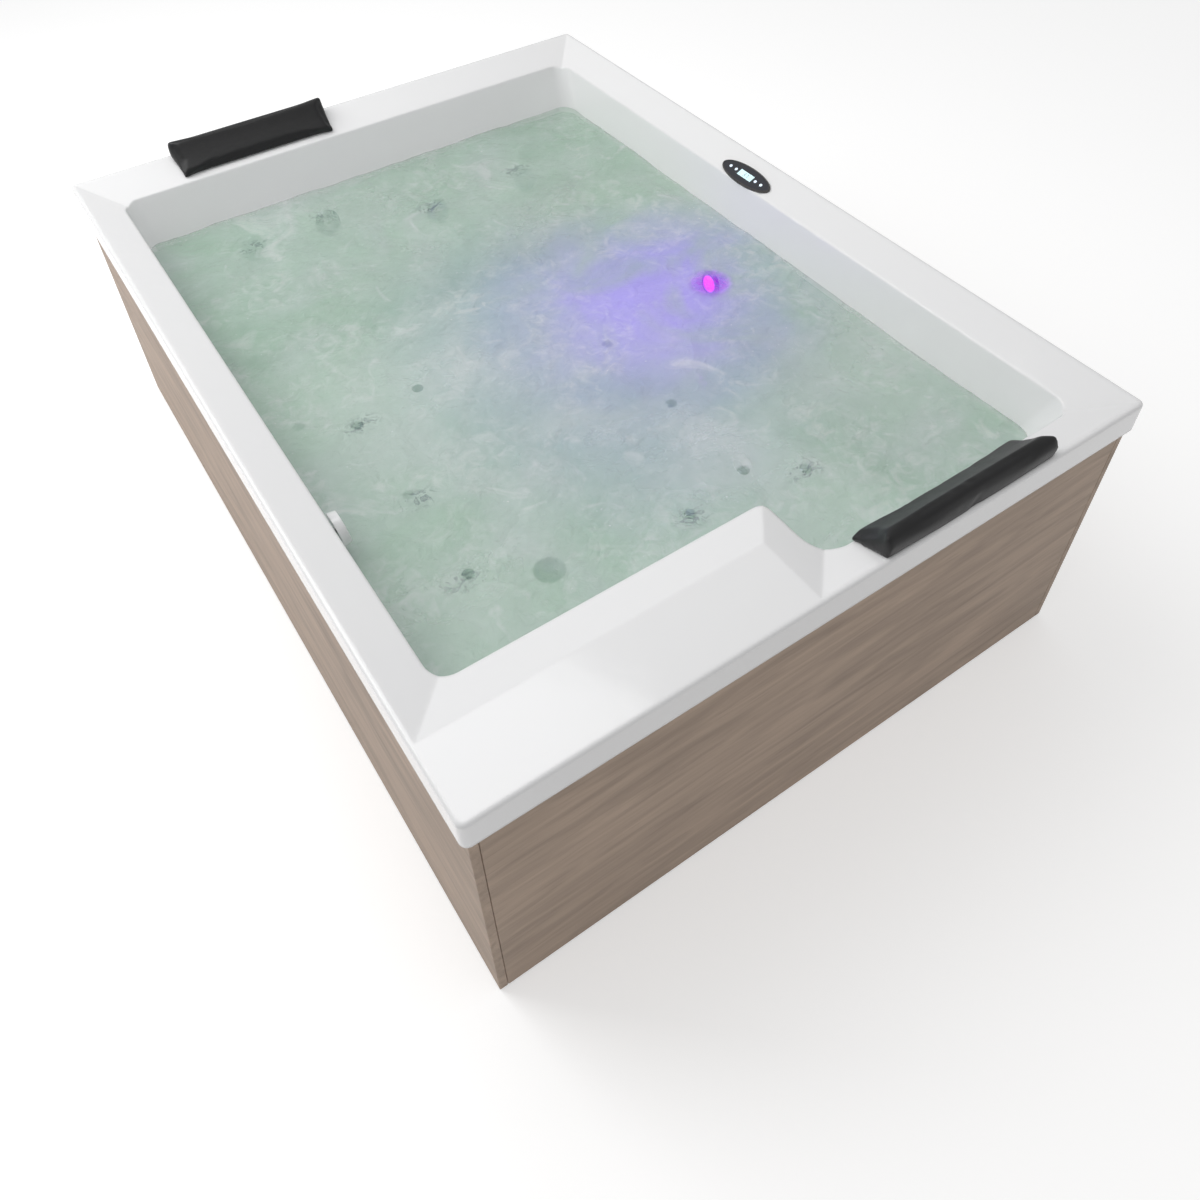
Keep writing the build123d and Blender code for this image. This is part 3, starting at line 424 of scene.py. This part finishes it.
# Black plastic pieces: the magnet catches behind the front apron, the box below the
# panel, the control box, the blower and the pump's wet end. Moulded, with a fine texture.
dark_plastic = grained(
    "textured_black_plastic",
    [(0.03, 0.03, 0.033), (0.045, 0.045, 0.048)],
    mottle=30.0,
    relief=900.0,
    roughness=0.48,
    spread=0.15,
    depth=0.0003,
)
dress(dark_plastic, "magnet_catches", "panel_box", "control_box", "blower", "pump_volute", "pump_impeller")
nylon = grained(
    "black_nylon",
    [(0.05, 0.05, 0.05), (0.035, 0.035, 0.035)],
    mottle=80.0,
    relief=900.0,
    roughness=0.4,
    spread=0.1,
    depth=0.0001,
)
dress(nylon, "headrest_far_pegs", "headrest_near_pegs")

# Headrests: wedge cushions moulded in one piece from black integral-skin foam. Two nylon
# pegs below push into holes in the rim. The skin is matt, with a fine leather grain.
voxel = 0.005
shrink = 0.0006
swell_limit = 0.006
swell_frames = 20
swell_pressure = 4
merge_gap = 0.00002
smooth_passes = 2
smooth_share = 0.4
foam_skin, shader = new_material(
    "integral_foam_skin",
    (0.012, 0.012, 0.013),
    0.42,
    sheen_weight=0.06,
    sheen_roughness=0.4,
)
shader.inputs["Specular IOR Level"].default_value = 0.4
skin = foam_skin.node_tree
place = skin.nodes.new("ShaderNodeTexCoord")
cells = skin.nodes.new("ShaderNodeTexVoronoi")
cells.inputs["Scale"].default_value = 620
folds = skin.nodes.new("ShaderNodeTexNoise")
folds.inputs["Scale"].default_value = 34
folds.inputs["Detail"].default_value = 6
tint = skin.nodes.new("ShaderNodeMix")
tint.data_type = "RGBA"
tint.inputs["A"].default_value = (0.005, 0.005, 0.0055, 1)
tint.inputs["B"].default_value = (0.013, 0.013, 0.014, 1)
gloss = skin.nodes.new("ShaderNodeMapRange")
gloss.inputs["To Min"].default_value = 0.34
gloss.inputs["To Max"].default_value = 0.5
grain = skin.nodes.new("ShaderNodeBump")
grain.inputs["Distance"].default_value = 0.0005
grain.inputs["Strength"].default_value = 0.5
for start, end in (
    (place.outputs["Object"], cells.inputs["Vector"]),
    (place.outputs["Object"], folds.inputs["Vector"]),
    (folds.outputs["Fac"], tint.inputs["Factor"]),
    (folds.outputs["Fac"], gloss.inputs["Value"]),
    (tint.outputs["Result"], shader.inputs["Base Color"]),
    (gloss.outputs[0], shader.inputs["Roughness"]),
    (cells.outputs["Distance"], grain.inputs["Height"]),
    (grain.outputs["Normal"], shader.inputs["Normal"]),
):
    skin.links.new(start, end)


def settled(piece):
    """The mesh that a piece's modifiers give at the present frame."""
    bpy.context.view_layer.update()
    return bpy.data.meshes.new_from_object(piece.evaluated_get(bpy.context.evaluated_depsgraph_get()))


def foam_cushion(node, name):
    """Foam piece from a CAD cushion: merged, remeshed, drawn in a little and swollen like foam."""
    form = bmesh.new()
    form.from_mesh(nodes[node].data)
    bmesh.ops.remove_doubles(form, verts=form.verts, dist=merge_gap)
    bmesh.ops.recalc_face_normals(form, faces=form.faces)
    cushion = new_object(name, form)
    remesh = cushion.modifiers.new("remesh", "REMESH")
    remesh.mode = "VOXEL"
    remesh.voxel_size = voxel
    cushion.data = settled(cushion)
    cushion.modifiers.clear()
    for point in cushion.data.vertices:
        point.co -= point.normal * shrink
    rest = [point.co.copy() for point in cushion.data.vertices]
    cloth = cushion.modifiers.new("swell", "CLOTH")
    cloth.settings.use_pressure = True
    cloth.settings.uniform_pressure_force = swell_pressure
    cloth.settings.effector_weights.gravity = 0
    for step in range(1, swell_frames + 1):
        bpy.context.scene.frame_set(step)
    swollen = settled(cushion)
    cushion.modifiers.clear()
    bpy.context.scene.frame_set(1)
    for point, start, end in zip(cushion.data.vertices, rest, swollen.vertices):
        move = end.co - start
        point.co = start + move * min(1.0, swell_limit / max(move.length, swell_limit))
    form = bmesh.new()
    form.from_mesh(cushion.data)
    every_way = {"use_axis_x": True, "use_axis_y": True, "use_axis_z": True}
    for _ in range(smooth_passes):
        bmesh.ops.smooth_vert(form, verts=form.verts, factor=smooth_share, **every_way)
    form.to_mesh(cushion.data)
    form.free()
    cushion.data.materials.clear()
    cushion.data.materials.append(foam_skin)
    for face in cushion.data.polygons:
        face.use_smooth = True
    finer = cushion.modifiers.new("finer", "SUBSURF")
    finer.levels = finer.render_levels = 1
    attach(cushion, node)
    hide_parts(node)


foam_cushion("headrest_near", "cushion_near")
foam_cushion("headrest_far", "cushion_far")

# Control panel: a black glass oval in a dark moulded bezel, set in the right slope of the
# rim. Behind the glass is the lit display, and beside it are four small lit touch keys.
panel_bezel = grained(
    "dark_bezel",
    [(0.075, 0.07, 0.068), (0.05, 0.048, 0.047)],
    mottle=40.0,
    relief=600.0,
    roughness=0.22,
    spread=0.1,
    depth=0.0001,
    metallic=0.4,
    coat_weight=0.6,
)
dress(panel_bezel, "panel_bezel")
panel_glass = grained(
    "black_glass",
    [(0.006, 0.007, 0.011), (0.012, 0.015, 0.028)],
    mottle=22.0,
    relief=60.0,
    roughness=0.06,
    spread=0.04,
    depth=0.00005,
    coat_weight=1.0,
)
dress(panel_glass, "panel_glass")


def lit(name, colours, strength, mottle):
    """Glowing piece with a slightly uneven glow."""
    material = grained(name, colours, mottle, relief=300.0, roughness=0.25, spread=0.1, depth=0.00005)
    tree = material.node_tree
    shader = tree.nodes["Principled BSDF"]
    shader.inputs["Emission Strength"].default_value = strength
    grain = next(node for node in tree.nodes if node.type == "GROUP")
    tree.links.new(grain.outputs["Colour"], shader.inputs["Emission Color"])
    return material


screen_glow = lit("lit_display", [(0.66, 0.86, 0.88), (0.5, 0.72, 0.78)], strength=0.45, mottle=60.0)
dress(screen_glow, "panel_screen")
key_glow = lit("lit_key", [(0.6, 0.72, 0.85), (0.8, 0.88, 0.95)], strength=0.5, mottle=400.0)
dress(key_glow, "panel_key_1", "panel_key_2", "panel_key_3", "panel_key_4")

# Display digits: a plain reading of two figures, each built from dark bars, as on a
# seven-segment display. They are thin bars just above the lit display.
slope_drop = 0.032
slope_run = 0.074
digit_lift = 0.00235
digit_step = 0.0045
bar_width = 0.0009
bar_depth = 0.0002
level_bar = 0.0040
upright_bar = 0.0038
level_gap = 0.0046
side_gap = 0.0025
panel_tilt = atan(slope_drop / slope_run)
screen_low, screen_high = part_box("panel_screen")
face_normal = Vector((-sin(panel_tilt), 0, cos(panel_tilt)))
screen_middle = (screen_low + screen_high) / 2 + face_normal * digit_lift
segments = {
    "top": (0.0, level_gap, level_bar, bar_width),
    "middle": (0.0, 0.0, level_bar, bar_width),
    "foot": (0.0, -level_gap, level_bar, bar_width),
    "right_upper": (-side_gap, level_gap / 2, bar_width, upright_bar),
    "right_lower": (-side_gap, -level_gap / 2, bar_width, upright_bar),
}
figures = {
    "three": ["top", "middle", "foot", "right_upper", "right_lower"],
    "seven": ["top", "right_upper", "right_lower"],
}
form = bmesh.new()
for centre, figure in ((digit_step, "three"), (-digit_step, "seven")):
    for segment in figures[figure]:
        across, upward, wide, tall = segments[segment]
        bar = bmesh.ops.create_cube(form, size=1)["verts"]
        bmesh.ops.scale(form, vec=(tall, wide, bar_depth), verts=bar)
        bmesh.ops.translate(form, vec=(upward, across + centre, 0), verts=bar)
to_panel = Matrix.Translation(screen_middle) @ Matrix.Rotation(-panel_tilt, 4, "Y")
bmesh.ops.transform(form, matrix=to_panel, verts=form.verts)
digits = new_object("display_digits", form)
digit_ink = grained(
    "digit_ink",
    [(0.06, 0.12, 0.16), (0.1, 0.17, 0.2)],
    mottle=300.0,
    relief=900.0,
    roughness=0.3,
    spread=0.1,
    depth=0.00002,
)
digits.data.materials.append(digit_ink)
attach(digits, "root")

# Fittings in the basin: jet rings, air injector caps, the lamp's bezel, the suction grille
# and the drain, moulded in plastic and chromed. The overflow knob is moulded in white.
chrome = grained(
    "bright_chrome",
    [(0.50, 0.52, 0.55), (0.38, 0.40, 0.43)],
    mottle=25.0,
    relief=120.0,
    roughness=0.09,
    spread=0.06,
    depth=0.00005,
    metallic=1.0,
)
dress(
    chrome,
    "jet_rings",
    "injector_caps",
    "light_bezel",
    "suction_grille",
    "drain_flange",
    "drain_plug",
)
white_knob = grained(
    "white_knob_plastic",
    [(0.82, 0.82, 0.82), (0.76, 0.77, 0.78)],
    mottle=20.0,
    relief=300.0,
    roughness=0.2,
    spread=0.08,
    depth=0.00005,
    edge=0.002,
    coat_weight=0.4,
)
dress(white_knob, "overflow_knob")
nozzle_plastic = grained(
    "pale_nozzle_plastic",
    [(0.6, 0.61, 0.63), (0.5, 0.51, 0.54)],
    mottle=80.0,
    relief=200.0,
    roughness=0.2,
    spread=0.1,
    depth=0.00005,
)
dress(nozzle_plastic, *[name for name in nodes if name.startswith("nozzle_")])

# Pipes and housings behind the shell: white and grey plastic, glued up with clear
# solvent. They have the slight gloss and mould marks of pressure pipe.
pipe_plastic = grained(
    "pipe_plastic",
    [(0.62, 0.62, 0.6), (0.52, 0.52, 0.5)],
    mottle=12.0,
    relief=160.0,
    roughness=0.3,
    spread=0.15,
    depth=0.0003,
)
dress(
    pipe_plastic,
    "jet_housings",
    "injector_bodies",
    "light_housing",
    "waste_pipe",
    "overflow_pipe",
    "suction_pipe",
    "pressure_pipes",
    "air_pipes",
)
motor_paint = grained(
    "motor_enamel",
    [(0.05, 0.06, 0.075), (0.075, 0.085, 0.1)],
    mottle=18.0,
    relief=260.0,
    roughness=0.38,
    spread=0.15,
    depth=0.0003,
    metallic=0.2,
)
dress(motor_paint, "pump_motor")

# Underwater lamp: a clear lens over coloured diodes, lit in magenta and violet. It shines
# across the basin from the right wall.
lens_glow = lit("lamp_lens", [(0.35, 0.02, 0.95), (0.75, 0.1, 1.0)], strength=5.0, mottle=120.0)
dress(lens_glow, "light_lens")

# Water: the basin filled to a hand below the rim, milky with air and stirred by the jets.
# It is green at the edges and blue in the middle, with foam and painted glints. Its violet by
# the lamp is painted lamp light, in the water's own colour and glow. Its dark swirls, painted
# shade over the jets, and the lamp's painted halo lie on the surface where the photographed view shows
# them.
water_level = 0.505
water_depth = 0.012
grid_columns = 120
grid_rows = 162
corner_cuts = 5
side = 0.6065
back = 0.8115
front = -0.8295
shelf_wall = -0.7015
shelf_edge = 0.0155
corner_radius = 0.040
# Centre of the lamp's painted pool of light in the water.
painted_beam_centre = (0.28, -0.04, water_level)
# Place of the lamp's painted halo on the surface.
painted_halo_spot = (0.408, -0.085, water_level)
middle_spot = (0.05, -0.1, water_level)
waves = [
    (0.0050, (3.5, 3.0), 4.0),
    (0.0032, (11.0, 9.0), 7.0),
    (0.0016, (31.0, 27.0), 1.0),
]
form = bmesh.new()
spread_out = Matrix.Diagonal((side, (back - front) / 2, 1, 1))
bmesh.ops.create_grid(form, x_segments=grid_columns, y_segments=grid_rows, size=1, matrix=spread_out)
bmesh.ops.translate(form, vec=(0, (back + front) / 2, 0), verts=form.verts)


def cut(form, point, outward, clear=True):
    """Cuts the sheet along an upright plane and drops what lies beyond it."""
    whole = form.verts[:] + form.edges[:] + form.faces[:]
    bmesh.ops.bisect_plane(form, geom=whole, plane_co=point, plane_no=outward, clear_outer=clear)


def round_corner(form, x, y, radius, outward_x, outward_y):
    """Rounds an outer corner of the sheet with a fan of straight cuts."""
    centre = Vector((x - outward_x * radius, y - outward_y * radius, 0))
    for step in range(1, corner_cuts + 1):
        angle = step * pi / 2 / (corner_cuts + 1)
        outward = Vector((outward_x * cos(angle), outward_y * sin(angle), 0))
        cut(form, centre + outward * radius, outward)


for x, y, outward_x, outward_y in ((side, back, 1, 1), (-side, back, -1, 1), (side, front, 1, -1)):
    round_corner(form, x, y, corner_radius, outward_x, outward_y)
cut(form, (shelf_edge, 0, 0), (1, 0, 0), clear=False)
cut(form, (0, shelf_wall, 0), (0, 1, 0), clear=False)
dry = [
    face
    for face in form.faces
    if face.calc_center_median().x < shelf_edge and face.calc_center_median().y < shelf_wall
]
bmesh.ops.delete(form, geom=dry, context="FACES")
for point in form.verts:
    x, y = point.co.x, point.co.y
    point.co.z = water_level
    for height, (per_x, per_y), start in waves:
        point.co.z += height * noise.noise(Vector((per_x * x, per_y * y, start)))
bmesh.ops.recalc_face_normals(form, faces=form.faces)
bmesh.ops.solidify(form, geom=form.faces[:], thickness=water_depth)
bmesh.ops.recalc_face_normals(form, faces=form.faces)
water = new_object("water", form)
for face in water.data.polygons:
    face.use_smooth = True

milky_water, shader = new_material("milky_water", (0.45, 0.58, 0.52), 0.06)
shader.inputs["IOR"].default_value = 1.33
tree = milky_water.node_tree
place = tree.nodes.new("ShaderNodeTexCoord")


def noise_tone(scale, detail, distortion, low, high, top=1.0):
    """Noise stretched to run from nought to top between two of its values."""
    tone = tree.nodes.new("ShaderNodeTexNoise")
    tone.inputs["Scale"].default_value = scale
    tone.inputs["Detail"].default_value = detail
    tone.inputs["Distortion"].default_value = distortion
    span = tree.nodes.new("ShaderNodeMapRange")
    span.inputs["From Min"].default_value = low
    span.inputs["From Max"].default_value = high
    span.inputs["To Max"].default_value = top
    tree.links.new(place.outputs["Object"], tone.inputs["Vector"])
    tree.links.new(tone.outputs["Fac"], span.inputs["Value"])
    return span.outputs[0]


def near(centre, stretch, inner, outer):
    """Soft spot round a point: one within the inner distance, nought beyond the outer one."""
    away = tree.nodes.new("ShaderNodeMapping")
    away.vector_type = "TEXTURE"
    away.inputs["Location"].default_value = centre
    away.inputs["Scale"].default_value = stretch
    gap = tree.nodes.new("ShaderNodeVectorMath")
    gap.operation = "LENGTH"
    span = tree.nodes.new("ShaderNodeMapRange")
    span.interpolation_type = "SMOOTHSTEP"
    span.inputs["From Min"].default_value = inner
    span.inputs["From Max"].default_value = outer
    span.inputs["To Min"].default_value = 1.0
    span.inputs["To Max"].default_value = 0.0
    tree.links.new(place.outputs["Object"], away.inputs["Vector"])
    tree.links.new(away.outputs["Vector"], gap.inputs[0])
    tree.links.new(gap.outputs["Value"], span.inputs["Value"])
    return span.outputs[0]


def joined(operation, first, second):
    """Two values put together by a Math node."""
    step = tree.nodes.new("ShaderNodeMath")
    step.operation = operation
    step.use_clamp = True
    for socket, value in zip(step.inputs, (first, second)):
        if isinstance(value, float):
            socket.default_value = value
        else:
            tree.links.new(value, socket)
    return step.outputs[0]


def tinted(factor, under, over):
    """Colour over another by a factor; either may be a plain colour."""
    mix = tree.nodes.new("ShaderNodeMix")
    mix.data_type = "RGBA"
    tree.links.new(factor, mix.inputs["Factor"])
    for socket, colour in ((mix.inputs["A"], under), (mix.inputs["B"], over)):
        if isinstance(colour, tuple):
            socket.default_value = colour
        else:
            tree.links.new(colour, socket)
    return mix.outputs["Result"]


# Painted lamp light: a violet pool of the lamp's light round the beam, in the water's colour and glow.
painted_beam_spread = near(painted_beam_centre, (1.2, 1.1, 1.0), inner=0.03, outer=0.40)
painted_beam_mist = noise_tone(scale=5.0, detail=7, distortion=0.9, low=0.22, high=0.58)
painted_beam = joined("MULTIPLY", painted_beam_spread, painted_beam_mist)
# The lamp's painted halo, with painted glints inside it.
painted_halo = near(painted_halo_spot, (1.0, 1.0, 1.0), inner=0.024, outer=0.060)
painted_glints = noise_tone(scale=75.0, detail=3, distortion=0.8, low=0.36, high=0.6)
lamp = joined("MULTIPLY", painted_halo, painted_glints)
middle = near(middle_spot, (1.0, 1.3, 1.0), inner=0.1, outer=0.5)
cloud = noise_tone(scale=4.5, detail=9, distortion=0.7, low=0.38, high=0.66)
froth_patches = noise_tone(scale=7.0, detail=4, distortion=0.8, low=0.45, high=0.62)
froth_grain = noise_tone(scale=30.0, detail=10, distortion=0.9, low=0.44, high=0.70)
froth = joined("MULTIPLY", froth_patches, froth_grain)
streaks = noise_tone(scale=9.0, detail=10, distortion=1.3, low=0.60, high=0.72, top=0.55)
# White specks: part bubbles, part painted glints.
bubble_and_glint_specks = noise_tone(scale=150.0, detail=2, distortion=0.0, low=0.72, high=0.76)
bubble_and_glint_patches = noise_tone(scale=6.0, detail=3, distortion=0.5, low=0.46, high=0.6)
bubbles_and_painted_glints = joined("MULTIPLY", bubble_and_glint_specks, bubble_and_glint_patches)
froth_and_streaks = joined("MAXIMUM", joined("MULTIPLY", froth, 0.5), streaks)
foam_and_painted_glints = joined("MAXIMUM", froth_and_streaks, bubbles_and_painted_glints)
# Painted shade: dark swirls on the surface over the jets, where they show darkly through the water.
painted_shade_spots = [
    (-0.20, 0.69),
    (-0.39, 0.66),
    (0.04, 0.57),
    (0.30, 0.59),
    (-0.44, -0.05),
    (-0.44, -0.29),
    (-0.46, -0.50),
    (-0.05, -0.61),
    (0.19, -0.64),
]
painted_shade_area = 0.0
for x, y in painted_shade_spots:
    jet_shade_spot = near((x, y, water_level), (1.3, 0.8, 1.0), inner=0.008, outer=0.042)
    painted_shade_area = joined("MAXIMUM", painted_shade_area, jet_shade_spot)
painted_shade_lines = noise_tone(scale=42.0, detail=6, distortion=2.2, low=0.50, high=0.60)
painted_jet_shade = joined("MULTIPLY", painted_shade_area, painted_shade_lines)
deep = noise_tone(scale=2.6, detail=3, distortion=0.8, low=0.35, high=0.7)

sea_green = (0.36, 0.52, 0.41, 1)
pale_green = (0.44, 0.60, 0.49, 1)
steel_blue = (0.34, 0.44, 0.54, 1)
cloud_grey = (0.54, 0.61, 0.60, 1)
# Violet of the painted lamp light in the water.
painted_beam_violet = (0.34, 0.27, 0.78, 1)
# White of the foam and of the painted glints.
foam_and_glint_white = (0.74, 0.77, 0.77, 1)
# Colour of the painted shade over the jets.
painted_shade_dark = (0.09, 0.15, 0.15, 1)
# Dark under the lamp's painted halo, and the colours of its painted glow.
painted_halo_dark = (0.12, 0.01, 0.40, 1)
painted_glow_violet = (0.28, 0.14, 0.95, 1)
painted_glow_magenta = (0.62, 0.01, 0.95, 1)
colour = tinted(deep, sea_green, pale_green)
colour = tinted(joined("MULTIPLY", middle, 0.8), colour, steel_blue)
colour = tinted(joined("MULTIPLY", cloud, 0.5), colour, cloud_grey)
colour = tinted(joined("MULTIPLY", painted_beam, 0.8), colour, painted_beam_violet)
# Foam, with painted glints among its bubbles.
colour = tinted(foam_and_painted_glints, colour, foam_and_glint_white)
# Painted shade over the jets.
colour = tinted(joined("MULTIPLY", painted_jet_shade, 0.85), colour, painted_shade_dark)
# Dark core of the lamp's painted halo.
colour = tinted(painted_halo, colour, painted_halo_dark)
tree.links.new(colour, shader.inputs["Base Color"])

# Glow of the water, though it is no lamp: the lamp's painted light round the beam.
painted_beam_glow = joined("MULTIPLY", painted_beam, 0.24)
# Glow of the lamp's painted halo and its painted glints; the water is no lamp.
painted_lamp_glow = joined("MULTIPLY", joined("ADD", painted_halo, lamp), 0.5)
painted_glow_share = joined("MAXIMUM", painted_beam_glow, painted_lamp_glow)
painted_glow_colour = tinted(lamp, painted_glow_violet, painted_glow_magenta)
tree.links.new(tinted(painted_glow_share, (0, 0, 0, 1), painted_glow_colour), shader.inputs["Emission Color"])
shader.inputs["Emission Strength"].default_value = 1.0

thickest = 0.56
thin_patches = noise_tone(scale=3.2, detail=4, distortion=0.6, low=0.4, high=0.7)
thin = joined("MULTIPLY", thin_patches, 0.2)
tree.links.new(joined("SUBTRACT", thickest, thin), shader.inputs["Alpha"])

choppy = tree.nodes.new("ShaderNodeBump")
choppy.inputs["Distance"].default_value = 0.010
fine = tree.nodes.new("ShaderNodeBump")
fine.inputs["Distance"].default_value = 0.004
chop = noise_tone(scale=14.0, detail=5, distortion=1.0, low=0.0, high=1.0)
ripple = noise_tone(scale=52.0, detail=4, distortion=0.8, low=0.0, high=1.0)
tree.links.new(chop, choppy.inputs["Height"])
tree.links.new(ripple, fine.inputs["Height"])
tree.links.new(choppy.outputs["Normal"], fine.inputs["Normal"])
tree.links.new(fine.outputs["Normal"], shader.inputs["Normal"])
water.data.materials.append(milky_water)
water.visible_shadow = False
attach(water, "root")
